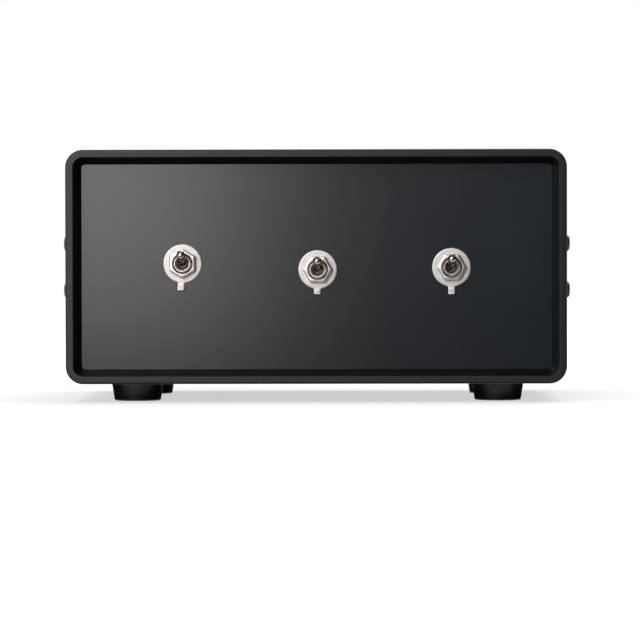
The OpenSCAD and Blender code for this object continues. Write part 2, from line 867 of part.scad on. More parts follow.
// Centre contact of a socket, bored for the plug's pin, with a solder tail
module socket_contacts() {
    color(brass) at_each_socket() difference() {
        union() {
            translate([0, 0, thread_end]) cylinder(h = contact_mouth - thread_end, r = contact_r);
            translate([0, 0, tail_end]) cylinder(h = thread_end - tail_end + cut, r = tail_r);
        }
        translate([0, 0, contact_mouth - socket_bore_l])
            cylinder(h = socket_bore_l + cut, r = socket_bore_d / 2);
    }
}

// Ring tags under the nuts, each with a lug that points down
module socket_ground_tags() {
    ring_r = 5.6;
    lug_w = 2.4;
    lug_l = 9;
    color("silver") at_each_socket() translate([0, 0, -panel_t - inner_ring_t - tag_t]) difference() {
        union() {
            cylinder(h = tag_t, r = ring_r);
            translate([-lug_w / 2, 0, 0]) cube([lug_w, lug_l, tag_t]);
        }
        translate([0, 0, -cut]) cylinder(h = tag_t + 2 * cut, r = socket_thread_d / 2 + fit);
    }
}

module socket_nuts() {
    color(nickel) at_each_socket() translate([0, 0, -panel_t - inner_ring_t - tag_t]) rotate([180, 0, 0])
        hex_nut(socket_nut_af, socket_nut_t, socket_thread_d / 2 + pin_fit);
}

// Attenuator board

module attenuator_board() {
    color([0.1, 0.32, 0.2]) difference() {
        translate([-board_w / 2, mid_y - board_d / 2, board_z]) cube([board_w, board_d, board_t]);
        at_board_holes(board_top) through_hole(board_t);
    }
}

// One resistor lying along X, with bulged ends and bent leads that stand on the board
module resistor() {
    lift = lead_stub + resistor_r;
    cap_l = 1.2;
    waist_r = resistor_r - 0.2;
    translate([0, 0, lift]) rotate([0, 90, 0]) {
        translate([0, 0, -resistor_l / 2]) cylinder(h = resistor_l, r = waist_r);
        for (end = [-resistor_l / 2, resistor_l / 2 - cap_l])
            translate([0, 0, end]) cylinder(h = cap_l, r = resistor_r);
        translate([0, 0, -resistor_span / 2]) cylinder(h = resistor_span, r = lead_r);
    }
    for (sx = [-1, 1]) translate([sx * resistor_span / 2, 0, 0]) {
        cylinder(h = lift, r = lead_r);
        translate([0, 0, lift]) sphere(lead_r);
    }
}

module attenuator_resistors() {
    middle = (resistors_in_row - 1) / 2;
    color([0.45, 0.62, 0.72]) for (k = [0:resistors_in_row - 1], row = [-1, 1])
        translate([(k - middle) * resistor_pitch, mid_y + row * row_pitch / 2, board_top])
            rotate(90) resistor();
}

module board_spacers() {
    color(brass) at_board_holes(floor_z) difference() {
        cylinder(h = spacer_l, r = hex_af / 2 / cos(30), $fn = 6);
        translate([0, 0, -cut]) cylinder(h = spacer_l + 2 * cut, r = screw_d / 2 + pin_fit);
    }
}

module spacer_screws() {
    color(black) at_board_holes(foot_h + cover_inset) rotate([180, 0, 0])
        pan_screw(cover_t + spacer_bite, low_head_h);
}

module board_screws() {
    color(nickel) at_board_holes(board_top) pan_screw(board_t + spacer_bite);
}

// Wires

function bezier(p, t) =
    pow(1 - t, 3) * p[0] + 3 * t * pow(1 - t, 2) * p[1] + 3 * t * t * (1 - t) * p[2] + pow(t, 3) * p[3];
function bezier_slope(p, t) =
    3 * pow(1 - t, 2) * (p[1] - p[0]) + 6 * t * (1 - t) * (p[2] - p[1]) + 3 * t * t * (p[3] - p[2]);

// The low row's wire and the high row's
landing = [near_landing, far_landing];
leave = [low_leave, high_leave];
drop = [low_drop, high_drop];

// A wire along a curve that leaves along Y and comes down along Z
module wire(from, to, leave, drop) {
    rings = 14;
    p = [from, from + [0, leave, 0], to + [0, 0, drop], to];
    tube([for (k = [0:rings]) bezier(p, k / rings)], [for (k = [0:rings]) bezier_slope(p, k / rings)],
         [1, 0, 0], wire_d / 2, 8);
}

// From each socket's tail to the rear edge of the board; the high row lands further in
module socket_wires() {
    rear_edge = mid_y + board_d / 2;
    color("dimgray") for (column = [0:2], row = [0, 1])
        wire([socket_x(column), rear_panel_y + tail_end, socket_z(row)],
             [(column - 1) * board_w / 4, rear_edge - landing[row], board_top],
             -leave[row], drop[row]);
}

// From the lower and middle terminals of each switch to the front edge of the board
module switch_wires() {
    front_edge = mid_y - board_d / 2;
    color("dimgray") for (i = [0:2], sx = [-1, 1], row = [0, 1])
        wire([column_x[i] + sx * pole_x, front_panel_y - terminal_end,
              mid_z + switch_lift[i] + (row - 1) * terminal_pitch],
             [(i - 1) * board_w / 4 + sx * pole_x, front_edge + landing[row], board_top],
             leave[row], drop[row]);
}

// Parts

front_bezel();
rear_bezel();
front_panel();
rear_panel();
top_cover();
bottom_cover();
left_side_rail();
right_side_rail();
cover_screws();
front_left_foot();
front_right_foot();
rear_left_foot();
rear_right_foot();
foot_screws();
foot_nuts();
switch_front_nuts();
switch_lock_washers();
switch_back_nuts();
input_one_sockets();
input_two_sockets();
output_sockets();
white_insulator_rings();
red_insulator_rings();
socket_insulators();
socket_contacts();
socket_ground_tags();
socket_nuts();
attenuator_board();
attenuator_resistors();
board_spacers();
spacer_screws();
board_screws();
socket_wires();
switch_wires();
for (i = [0:2]) {
    switch_bushing(i);
    switch_housing(i);
    switch_terminals(i);
    switch_lever(i);
    switch_pivot_pin(i);
    switch_spring(i);
    switch_plunger(i);
    switch_contact_blades(i);
}
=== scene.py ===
"""Looks of the passive preamplifier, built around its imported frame: case, switches, sockets and studio."""
import json
from math import atan2, cos, hypot, pi, radians, sin, sqrt, tan

import bmesh
import bpy
from mathutils import Matrix, Vector


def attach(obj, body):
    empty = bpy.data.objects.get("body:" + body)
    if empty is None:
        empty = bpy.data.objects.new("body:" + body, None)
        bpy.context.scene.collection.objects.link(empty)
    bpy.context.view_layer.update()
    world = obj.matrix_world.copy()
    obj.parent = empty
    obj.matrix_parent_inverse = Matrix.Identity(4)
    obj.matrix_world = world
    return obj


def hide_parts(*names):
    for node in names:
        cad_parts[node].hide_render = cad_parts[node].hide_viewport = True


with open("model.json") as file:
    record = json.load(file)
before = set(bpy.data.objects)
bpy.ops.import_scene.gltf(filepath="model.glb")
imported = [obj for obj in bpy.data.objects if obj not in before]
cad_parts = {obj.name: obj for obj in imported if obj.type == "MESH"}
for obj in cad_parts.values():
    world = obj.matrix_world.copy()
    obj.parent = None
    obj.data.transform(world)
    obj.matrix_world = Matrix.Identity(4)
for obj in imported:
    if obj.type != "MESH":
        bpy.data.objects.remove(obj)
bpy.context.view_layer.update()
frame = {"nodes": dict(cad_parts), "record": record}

# Sizes of the part, in millimetres, in its own frame
MM = 0.001
BODY_W, BODY_H, CORNER_R = 154.0, 72.0, 5.4
COVER_T, COVER_INSET, SEAM_GAP = 1.2, 0.15, 0.15
RIM_W, SLOPE_W, RECESS, BEZEL_D, EDGE_R = 2.4, 1.9, 10.0, 12.0, 0.6
SPIGOT_OUTER, SPIGOT_INNER, SPIGOT_L = 1.45, 3.05, 8.0
FIT, PIN_FIT, SCREW_FIT = 0.1, 0.03, 0.2
FRONT_Y, REAR_Y, MID_Z = -59.2703, 60.7297, 41.8
FRONT_PANEL_Y, REAR_PANEL_Y, PANEL_T = FRONT_Y + RECESS, REAR_Y - RECESS, 2.0
MID_Y = (FRONT_Y + REAR_Y) / 2
SCREW_D, HEAD_D, HEAD_H, LOW_HEAD_H = 3.0, 5.2, 1.7, 1.1
COVER_SCREW_L, FOOT_SCREW_L, SPACER_SCREW_L = 6.0, 5.8, 4.4
SCREW_LINE, COVER_SCREW_RISE = BEZEL_D + SPIGOT_L / 2, 7.2
FOOT_H, FOOT_TOP_R, FOOT_BASE_R, FOOT_WEB, FOOT_RECESS_R = 5.8, 8.15, 7.2, 2.2, 3.4
FOOT_X, FOOT_INSET = 56.4, 26.0
BOARD_HOLE_X, BOARD_HOLE_Y = 43.0, 21.0

# Switches, with levels along their axis from the panel's front face
SIDES = ("left", "centre", "right")
SWITCH_X, SWITCH_LIFT = (-41.4, 0.4, 41.75), (1.0, -0.9, -0.3)
NUT_TURN, WASHER_TURN = (30, 0, 1), (-4, -1, 0)
TAB_BEND, TAB_L = (20, 26, 24), (2.0, 1.3, 2.0)
WASHER_R, WASHER_T, TAB_W, TAB_FILLET, TAB_CORNER, BEND_Y = 6.0, 0.8, 2.2, 0.5, 0.5, -6.4
NUT_AF, NUT_T = 8.0, 2.0
BUSHING_R, BUSHING_L, BUSHING_PROUD = 3.0, 9.0, 1.4
THREAD_PITCH, THREAD_DEPTH = 0.75, 0.36
PIVOT_DEPTH, FRAME_T, STEM_OUT = 4.6, 1.0, 0.2
MOUTH = WASHER_T + NUT_T + BUSHING_PROUD
PIVOT = MOUTH - PIVOT_DEPTH
FRAME_FRONT = MOUTH - BUSHING_L
FRAME_BACK = FRAME_FRONT - FRAME_T
HALF_SWING = 11.0
LEVER_L, TIP_R, NECK_R, BALL_R, STEM_R = 13.1, 1.4, 0.9, 1.7, 1.2
STEM_END = FRAME_BACK - PIVOT - STEM_OUT

# Sockets, with levels along their axis from the rear panel's outer face
SOCKET_X, SOCKET_Z = (-40.0, 0.0, 40.0), (MID_Z - 12.0, MID_Z + 12.0)
RING_T, INNER_RING_T, FLANGE_TOP, SOCKET_MOUTH, THREAD_END = 1.4, 0.8, 3.4, 12.4, -7.7
BARREL_R, BARREL_BORE_R, FLANGE_R, SOCKET_THREAD_R = 4.15, 3.25, 5.75, 4.0
CONTACT_MOUTH = SOCKET_MOUTH - 0.6
CONTACT_R, CONTACT_BORE_R, CONTACT_BORE_L = 2.15, 1.65, 8.4
TAIL_R, TAIL_L = 1.0, 4.5

# Edges that meet at a greater angle than this, in degrees, stay sharp
SHARP_ANGLE = 38
# Segments of each rounded corner of the case
CORNER_STEPS = 14


# Places and mesh building, in millimetres

def moved(x, y, z):
    return Matrix.Translation((x, y, z))


def turned(degrees, axis):
    return Matrix.Rotation(radians(degrees), 4, axis)


def facing_front(x, y, z):
    """Local z points to the front, local y up."""
    return moved(x, y, z) @ turned(90, "X")


def facing_rear(x, y, z):
    """Local z points to the rear, local y down."""
    return moved(x, y, z) @ turned(-90, "X")


def at_switch(i):
    return facing_front(SWITCH_X[i], FRONT_PANEL_Y, MID_Z + SWITCH_LIFT[i])


def rounded(corners, closed=True, steps=5):
    """The points of a flat outline, given as (x, y, radius), with each corner rounded to its radius."""
    points = []
    count = len(corners)
    for i, (x, y, r) in enumerate(corners):
        corner = Vector((x, y))
        if r == 0 or (not closed and i in (0, count - 1)):
            points.append((x, y))
            continue
        back = (Vector(corners[i - 1][:2]) - corner).normalized()
        ahead = (Vector(corners[(i + 1) % count][:2]) - corner).normalized()
        half = back.angle(ahead) / 2
        centre = corner + (back + ahead).normalized() * (r / sin(half))
        first = corner + back * (r / tan(half)) - centre
        last = corner + ahead * (r / tan(half)) - centre
        sweep = atan2(first.x * last.y - first.y * last.x, first.dot(last))
        for k in range(steps + 1):
            turn = sweep * k / steps
            points.append((centre.x + first.x * cos(turn) - first.y * sin(turn),
                           centre.y + first.x * sin(turn) + first.y * cos(turn)))
    return points


def circle(place, r, level, steps):
    """A ring of points about local z."""
    turns = [2 * pi * k / steps for k in range(steps)]
    return [place @ Vector((r * cos(turn), r * sin(turn), level)) for turn in turns]


def surface(bm, rows, around=True, along=False, material=0):
    """Joins rows of points with faces. A row is a loop if around; the last row meets the first if along."""
    grid = [[bm.verts.new(p) for p in row] for row in rows]
    pairs = list(zip(grid, grid[1:]))
    if along:
        pairs.append((grid[-1], grid[0]))
    for a, b in pairs:
        n = max(len(a), len(b))
        for i in range(n if around else n - 1):
            j = (i + 1) % n
            if len(a) == 1:
                corners = (a[0], b[j], b[i])
            elif len(b) == 1:
                corners = (a[i], a[j], b[0])
            else:
                corners = (a[i], a[j], b[j], b[i])
            bm.faces.new(corners).material_index = material
    return grid


def lathe(bm, profile, place, steps=64, closed=True):
    """Turns a profile of (radius, level) points about local z. A closed profile makes a ring."""
    surface(bm, [circle(place, r, level, 1 if r == 0 else steps) for r, level in profile], along=closed)


def box(bm, low, high, place, soften):
    """A box between two corners with softened edges."""
    made = bmesh.ops.create_cube(bm, size=1)["verts"]
    size = [h - l for l, h in zip(low, high)]
    middle = [(l + h) / 2 for l, h in zip(low, high)]
    for v in made:
        v.co = Vector([c * s + m for c, s, m in zip(v.co, size, middle)])
    edges = {e for v in made for e in v.link_edges}
    softened = bmesh.ops.bevel(bm, geom=list(edges), offset=soften, segments=2, profile=0.5, affect="EDGES")
    for v in {v for f in softened["faces"] for v in f.verts}:
        v.co = place @ v.co


def mesh_of(bm, name):
    bmesh.ops.recalc_face_normals(bm, faces=bm.faces)
    mesh = bpy.data.meshes.new(name)
    bm.to_mesh(mesh)
    bm.free()
    return mesh


def carve(mesh, cutter):
    """The mesh less the cutter's mesh."""
    body = bpy.data.objects.new("carve_body", mesh)
    tool = bpy.data.objects.new("carve_tool", cutter)
    for obj in (body, tool):
        bpy.context.scene.collection.objects.link(obj)
    cut = body.modifiers.new("cut", "BOOLEAN")
    cut.operation = "DIFFERENCE"
    cut.solver = "EXACT"
    cut.object = tool
    bpy.context.view_layer.update()
    result = bpy.data.meshes.new_from_object(body.evaluated_get(bpy.context.evaluated_depsgraph_get()))
    for obj in (body, tool):
        bpy.data.objects.remove(obj)
    return result


def piece(name, bm, body, slot, nodes, finishes=None):
    """Makes a piece that rides on a body and stands for CAD nodes."""
    mesh = mesh_of(bm, name)
    mesh.transform(Matrix.Scale(MM, 4))
    mesh.shade_smooth()
    mesh.set_sharp_from_angle(angle=radians(SHARP_ANGLE))
    for finish_name in finishes or [slot]:
        mesh.materials.append(MATERIALS[finish_name])
    obj = bpy.data.objects.new(name, mesh)
    bpy.context.scene.collection.objects.link(obj)
    even = obj.modifiers.new("even_flats", "WEIGHTED_NORMAL")
    even.keep_sharp = True
    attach(obj, body)
    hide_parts(*nodes)


# Materials

def finish(name, base, rough, spread=0.06, tint=0.12, metallic=0.0, blotch=60, grain=1500, bump=0.1,
           depth=0.00004, stretch=(1, 1, 1), specular=0.5, edge=1.0):
    """A surface whose colour drifts in blotches, and whose gloss and height vary with a finer grain."""
    material = bpy.data.materials.new(name)
    material.use_nodes = True
    nodes, links = material.node_tree.nodes, material.node_tree.links
    shader = nodes["Principled BSDF"]
    shader.inputs["Metallic"].default_value = metallic
    shader.inputs["Specular IOR Level"].default_value = specular
    shader.inputs["Specular Tint"].default_value = (edge, edge, edge, 1)
    place = nodes.new("ShaderNodeTexCoord")
    scale = nodes.new("ShaderNodeMapping")
    scale.inputs["Scale"].default_value = stretch
    links.new(place.outputs["Object"], scale.inputs["Vector"])
    clouds = nodes.new("ShaderNodeTexNoise")
    clouds.inputs["Scale"].default_value = blotch
    clouds.inputs["Detail"].default_value = 5
    links.new(place.outputs["Object"], clouds.inputs["Vector"])
    ramp = nodes.new("ShaderNodeValToRGB")
    ramp.color_ramp.elements[0].position = 0.3
    ramp.color_ramp.elements[0].color = [c * (1 - tint) for c in base] + [1]
    ramp.color_ramp.elements[1].position = 0.7
    ramp.color_ramp.elements[1].color = [min(1, c * (1 + tint)) for c in base] + [1]
    links.new(clouds.outputs["Fac"], ramp.inputs["Fac"])
    links.new(ramp.outputs["Color"], shader.inputs["Base Color"])
    grains = nodes.new("ShaderNodeTexNoise")
    grains.inputs["Scale"].default_value = grain
    grains.inputs["Detail"].default_value = 3
    links.new(scale.outputs["Vector"], grains.inputs["Vector"])
    gloss = nodes.new("ShaderNodeMapRange")
    gloss.inputs["From Min"].default_value = 0.25
    gloss.inputs["From Max"].default_value = 0.75
    gloss.inputs["To Min"].default_value = rough - spread
    gloss.inputs["To Max"].default_value = rough + spread
    links.new(grains.outputs["Fac"], gloss.inputs["Value"])
    links.new(gloss.outputs["Result"], shader.inputs["Roughness"])
    relief = nodes.new("ShaderNodeBump")
    relief.inputs["Strength"].default_value = bump
    relief.inputs["Distance"].default_value = depth
    links.new(grains.outputs["Fac"], relief.inputs["Height"])
    links.new(relief.outputs["Normal"], shader.inputs["Normal"])
    return material


BEZEL_PAINT = dict(base=(0.0045, 0.0047, 0.005), spread=0.04, grain=2600, bump=0.12)
FINISHES = {
    "bezel_black": dict(BEZEL_PAINT, rough=0.36, specular=0.4),
    "bezel_wall": dict(BEZEL_PAINT, rough=0.52, specular=0.15),
    "panel_black": dict(base=(0.009, 0.0122, 0.015), rough=0.19, spread=0.02, grain=4000, bump=0.012,
                        depth=0.00001),
    "cover_black": dict(base=(0.008, 0.0082, 0.0085), rough=0.45, grain=1500, bump=0.4, depth=0.00006),
    "rail_aluminium": dict(base=(0.6, 0.61, 0.63), rough=0.35, metallic=1, stretch=(1, 0.04, 1)),
    "screw_black": dict(base=(0.02, 0.02, 0.021), rough=0.35, metallic=0.6, grain=3000),
    "screw_steel": dict(base=(0.62, 0.62, 0.61), rough=0.28, metallic=1, grain=2500),
    "foot_rubber": dict(base=(0.008, 0.0082, 0.009), rough=0.38, spread=0.04, grain=2200, specular=0.52),
    "switch_nickel": dict(base=(0.76, 0.69, 0.635), rough=0.31, spread=0.05, tint=0.05, metallic=1,
                          blotch=300, grain=2400, bump=0.08),
    "washer_nickel": dict(base=(0.69, 0.655, 0.622), rough=0.48, tint=0.06, metallic=1, blotch=400,
                          grain=2000, bump=0.15),
    "bushing_bore": dict(base=(0.8, 0.66, 0.54), rough=0.42, tint=0.05, metallic=1, blotch=500, grain=2600),
    "lever_chrome": dict(base=(0.55, 0.55, 0.55), rough=0.24, spread=0.03, tint=0.03, metallic=1,
                         grain=1800, bump=0.02, edge=0.55),
    "switch_housing": dict(base=(0.03, 0.06, 0.2), rough=0.35),
    "plunger_nylon": dict(base=(0.75, 0.72, 0.62), rough=0.45),
    "contact_tin": dict(base=(0.65, 0.64, 0.6), rough=0.35, metallic=1),
    "contact_gold": dict(base=(0.83, 0.62, 0.28), rough=0.25, metallic=1, grain=2600),
    "socket_nickel": dict(base=(0.74, 0.72, 0.68), rough=0.2, tint=0.05, metallic=1, grain=2600),
    "ring_white": dict(base=(0.78, 0.77, 0.73), rough=0.32, tint=0.04),
    "ring_red": dict(base=(0.42, 0.02, 0.018), rough=0.32),
    "socket_insulator": dict(base=(0.76, 0.76, 0.73), rough=0.4, tint=0.04),
    "board_green": dict(base=(0.02, 0.11, 0.045), rough=0.4),
    "resistor_blue": dict(base=(0.16, 0.34, 0.45), rough=0.3),
    "spacer_brass": dict(base=(0.66, 0.5, 0.24), rough=0.3, metallic=1),
    "wire_grey": dict(base=(0.05, 0.05, 0.053), rough=0.4),
}
MATERIALS = {name: finish(name, **values) for name, values in FINISHES.items()}

for subpart in frame["record"]["subparts"]:
    node = frame["nodes"][subpart["node"]]
    node.data.materials.clear()
    node.data.materials.append(MATERIALS[subpart["material_slot"]])


# Case

def outline(inset):
    """The case's rounded outline moved inward, as (x, z) from the case's middle."""
    r = CORNER_R - inset
    points = []
    for quarter in range(4):
        corner_x = (1 if quarter in (0, 3) else -1) * (BODY_W / 2 - CORNER_R)
        corner_z = (1 if quarter in (0, 1) else -1) * (BODY_H / 2 - CORNER_R)
        for k in range(CORNER_STEPS + 1):
            turn = pi / 2 * (quarter + k / CORNER_STEPS)
            points.append((corner_x + r * cos(turn), corner_z + r * sin(turn)))
    return points


def bezel(end, y, inward):
    """A frame whose section, as (inset, depth), is swept round the outline."""
    rim_soft, spigot_soft, back_soft = 0.24, 0.2, 0.22
    section = rounded([
        (0, 0, EDGE_R), (RIM_W, 0, rim_soft), (RIM_W + SLOPE_W, RECESS, 0),
        (SPIGOT_INNER, RECESS, 0), (SPIGOT_INNER, BEZEL_D + SPIGOT_L, spigot_soft),
        (SPIGOT_OUTER, BEZEL_D + SPIGOT_L, spigot_soft), (SPIGOT_OUTER, BEZEL_D, 0),
        (0, BEZEL_D, back_soft)], steps=6)
    bm = bmesh.new()
    surface(bm, [[(x, y + inward * depth, MID_Z + z) for x, z in outline(inset)] for inset, depth in section],
            along=True)
    # Only the sloping wall reaches from the rim to the bottom of the recess
    wall_start, wall_end = 0.5, RECESS - 0.1
    for face in bm.faces:
        depths = [abs(v.co.y - y) for v in face.verts]
        face.material_index = int(min(depths) < wall_start and max(depths) > wall_end)
    piece(f"{end}_bezel_moulding", bm, "case", "bezel_black", [f"{end}_bezel"], ["bezel_black", "bezel_wall"])


def cover(half, up):
    """A U-shaped sheet: a soft-edged strip swept round half of the outline."""
    soft = 0.2
    front, rear = FRONT_Y + BEZEL_D + FIT, REAR_Y - BEZEL_D - FIT
    strip = rounded([(0, front, soft), (0, rear, soft), (COVER_T, rear, soft), (COVER_T, front, soft)],
                    steps=3)
    reach = BODY_W / 2 - COVER_INSET
    corner = CORNER_R - COVER_INSET
    path = [(reach, SEAM_GAP / 2, 1.0, 0.0)]
    for sx, start in ((1, 0), (-1, 90)):
        for k in range(CORNER_STEPS + 1):
            turn = radians(start + 90 * k / CORNER_STEPS)
            path.append((sx * (BODY_W / 2 - CORNER_R) + corner * cos(turn),
                         BODY_H / 2 - CORNER_R + corner * sin(turn), cos(turn), sin(turn)))
    path.append((-reach, SEAM_GAP / 2, -1.0, 0.0))
    bm = bmesh.new()
    grid = surface(bm, [[(x - nx * deep, y, MID_Z + up * (z - nz * deep)) for deep, y in strip]
                        for x, z, nx, nz in path])
    for loop in (grid[0], grid[-1]):
        bm.faces.new(loop)
    piece(f"{half}_cover_sheet", bm, "case", "cover_black", [f"{half}_cover"])


def screw_mesh(length, height):
    """A machine screw whose pan head, with its cross recess, is seated on local z = 0."""
    straight, flat_share, dome_steps = 0.35 * height, 0.5, 10
    shank_r, chamfer, head_soft = SCREW_D / 2, 0.3, 0.1
    dome = []
    for k in range(dome_steps + 1):
        turn = pi / 2 * k / dome_steps
        dome.append((HEAD_D / 2 * (flat_share + (1 - flat_share) * cos(turn)),
                     straight + (height - straight) * sin(turn)))
    bm = bmesh.new()
    lathe(bm, [(0, -length), (shank_r - chamfer, -length), (shank_r, chamfer - length), (shank_r, 0),
               (HEAD_D / 2 - head_soft, 0), (HEAD_D / 2, head_soft), *dome, (0, height)],
          Matrix(), steps=48, closed=False)
    screw = mesh_of(bm, "screw")
    half_slot, arm = 0.36, 1.4
    floor_level, floor_taper = 0.4 * height, 0.7
    mouth_level, mouth_taper = height + 0.3, 1.06
    arm_corners = [(arm, half_slot), (half_slot, half_slot), (half_slot, arm)]
    cross = [(x * c - y * s, x * s + y * c)
             for c, s in ((1, 0), (0, 1), (-1, 0), (0, -1)) for x, y in arm_corners]
    bm = bmesh.new()
    grid = surface(bm, [[(x * taper, y * taper, level) for x, y in cross]
                        for taper, level in ((floor_taper, floor_level), (mouth_taper, mouth_level))])
    for loop in grid:
        bm.faces.new(loop)
    return carve(screw, mesh_of(bm, "screw_recess"))


def screws(name, slot, node, places, length, height=HEAD_H):
    """A set of alike screws, one at each place."""
    screw = screw_mesh(length, height)
    bm = bmesh.new()
    for place in places:
        copy = screw.copy()
        copy.transform(place)
        bm.from_mesh(copy)
        bpy.data.meshes.remove(copy)
    piece(name, bm, "case", slot, [node])


def foot(name, sx, y):
    """A turned rubber foot with a recess for its screw below."""
    top = FOOT_H + COVER_INSET
    hole_r = SCREW_D / 2 + SCREW_FIT
    recess_soft, base_soft, top_soft, web_soft = 0.25, 0.45, 0.12, 0.15
    bm = bmesh.new()
    lathe(bm, rounded([(FOOT_RECESS_R, 0, recess_soft), (FOOT_BASE_R, 0, base_soft),
                       (FOOT_TOP_R, top, top_soft), (hole_r, top, 0), (hole_r, top - FOOT_WEB, 0),
                       (FOOT_RECESS_R, top - FOOT_WEB, web_soft)]), moved(sx * FOOT_X, y, 0), steps=96)
    piece(f"{name}_moulding", bm, "case", "foot_rubber", [name])


bezel("front", FRONT_Y, 1)
bezel("rear", REAR_Y, -1)
cover("top", 1)
cover("bottom", -1)
COVER_SCREW_PLACES = [(sx, y, sz) for sx in (-1, 1) for y in (FRONT_Y + SCREW_LINE, REAR_Y - SCREW_LINE)
                      for sz in (-1, 1)]
screws("cover_screw_set", "screw_black", "cover_screws", [
    moved(sx * (BODY_W / 2 - COVER_INSET), y, MID_Z + sz * COVER_SCREW_RISE)
    @ turned(sx * 90, "Y") @ turned(turn, "Z")
    for (sx, y, sz), turn in zip(COVER_SCREW_PLACES, (12, 51, 33, 70, 84, 20, 5, 42))], COVER_SCREW_L)
FOOT_PLACES = [(end, side, sx, y)
               for end, y in (("front", FRONT_Y + FOOT_INSET), ("rear", REAR_Y - FOOT_INSET))
               for side, sx in (("left", -1), ("right", 1))]
for end, side, sx, y in FOOT_PLACES:
    foot(f"{end}_{side}_foot", sx, y)
DOWN = turned(180, "X")
screws("foot_screw_set", "screw_steel", "foot_screws", [
    moved(sx * FOOT_X, y, FOOT_H + COVER_INSET - FOOT_WEB) @ DOWN @ turned(turn, "Z")
    for (end, side, sx, y), turn in zip(FOOT_PLACES, (15, 62, 40, 80))], FOOT_SCREW_L)
screws("spacer_screw_set", "screw_black", "spacer_screws", [
    moved(sx * BOARD_HOLE_X, MID_Y + sy * BOARD_HOLE_Y, FOOT_H + COVER_INSET) @ DOWN @ turned(turn, "Z")
    for sx, sy, turn in ((-1, -1, 25), (-1, 1, 66), (1, -1, 8), (1, 1, 48))], SPACER_SCREW_L, LOW_HEAD_H)


# Toggle switches

def hex_nut(bm, place, bore_r):
    """A stamped nut: its front edges are rolled along the flats, and its bore is countersunk."""
    steps = 96
    turns = [2 * pi * (k + 0.5) / steps for k in range(steps)]
    sink, corner_cut, back_chamfer = 0.2, 0.07, 0.12
    front_roll = ((0.5, 0), (0.33, 0.02), (0.17, 0.065), (0.05, 0.14), (0, 0.25))

    def round_row(r, level):
        return [(r, level)] * steps

    def hex_row(inset, level):
        flat = NUT_AF / 2 - inset
        corner_r = flat / cos(pi / 6) - corner_cut
        return [(min(flat / cos(t % (pi / 3) - pi / 6), corner_r), level) for t in turns]

    rows = [round_row(bore_r, 0), round_row(bore_r, NUT_T - sink), round_row(bore_r + sink, NUT_T),
            *(hex_row(inset, NUT_T - drop) for inset, drop in front_roll),
            hex_row(0, back_chamfer), hex_row(back_chamfer, 0)]
    surface(bm, [[place @ Vector((r * cos(t), r * sin(t), level)) for (r, level), t in zip(row, turns)]
                 for row in rows], along=True)


def washer_edge(tab_l):
    """The lock washer's edge seen from the front, anticlockwise from the tab's end.

    The number of its first points that lie on the tab is given with it.
    """
    tab_rows, corner_steps, fillet_steps, rim_steps = 7, 6, 6, 60
    fillet_x = TAB_W / 2 + TAB_FILLET
    fillet_y = -sqrt((WASHER_R + TAB_FILLET) ** 2 - fillet_x ** 2)
    lean = atan2(fillet_y, fillet_x)
    end_y = BEND_Y - tab_l
    corner = rounded([(0, end_y, 0), (TAB_W / 2, end_y, TAB_CORNER), (TAB_W / 2, BEND_Y, 0)],
                     closed=False, steps=corner_steps)[1:-1]
    rise = (BEND_Y - corner[-1][1]) / tab_rows
    tab = corner + [(TAB_W / 2, corner[-1][1] + rise * k) for k in range(1, tab_rows + 1)]
    sweep = [pi + lean * k / fillet_steps for k in range(fillet_steps + 1)]
    fillet = [(fillet_x + TAB_FILLET * cos(t), fillet_y + TAB_FILLET * sin(t)) for t in sweep]
    turns = [lean + (pi / 2 - lean) * k / rim_steps for k in range(1, rim_steps)]
    right = tab + fillet + [(WASHER_R * cos(t), WASHER_R * sin(t)) for t in turns]
    return right + [(0, WASHER_R)] + [(-x, y) for x, y in reversed(right)], len(tab)


def moved_inward(edge, distance):
    """A closed edge moved inward along its own normals."""
    inner = []
    for i, (x, y) in enumerate(edge):
        ax, ay = edge[i - 1]
        bx, by = edge[(i + 1) % len(edge)]
        length = hypot(bx - ax, by - ay)
        inner.append((x - distance * (by - ay) / length, y + distance * (bx - ax) / length))
    return inner


def bent_forward(x, y, z, bend):
    """A washer's point after the tab is bent: first along an arc in front of the washer, then straight."""
    arc = 0.5
    start_y = BEND_Y + arc / 2
    run = start_y - y
    if run <= 0:
        return Vector((x, y, z))
    radius = arc / radians(bend)
    turn = radians(bend) * min(run, arc) / arc
    rest = max(run - arc, 0)
    centre_z = WASHER_T + radius
    return Vector((x, start_y - (centre_z - z) * sin(turn) - rest * cos(turn),
                   centre_z - (centre_z - z) * cos(turn) + rest * sin(turn)))


def lock_washer(bm, place, bend, tab_l):
    """A stamped washer with rolled edges and a bent tab."""
    edge, tab_count = washer_edge(tab_l)
    count = len(edge)
    roll_w, roll_h, roll_steps, flat_from, bore_steps = 0.42, 0.17, 5, 0.48, 64
    turns = [pi / 2 * k / roll_steps for k in range(roll_steps + 1)]
    quarter = [(roll_w * (1 - cos(t)), roll_h * (1 - sin(t))) for t in turns]
    stack = [(flat_from, WASHER_T), *((inset, WASHER_T - drop) for inset, drop in reversed(quarter)),
             *quarter, (flat_from, 0)]
    grid = surface(bm, [[place @ bent_forward(x, y, z, bend) for x, y in moved_inward(edge, inset)]
                        for inset, z in stack])
    bore = surface(bm, [circle(place, BUSHING_R + FIT, z, bore_steps) for z in (WASHER_T, 0)])
    # On each face the tab is a ladder between its two sides, and the disc is filled round its hole
    for ring, hole in zip((grid[0], grid[-1]), bore):
        for k in range(tab_count - 1):
            bm.faces.new((ring[k], ring[k + 1], ring[count - 2 - k], ring[count - 1 - k]))
        disc = ring[tab_count - 1:count - tab_count + 1]
        edges = [bm.edges.get(pair) or bm.edges.new(pair)
                 for loop in (disc, hole) for pair in zip(loop, loop[1:] + loop[:1])]
        bmesh.ops.triangle_fill(bm, use_beauty=True, edges=edges)


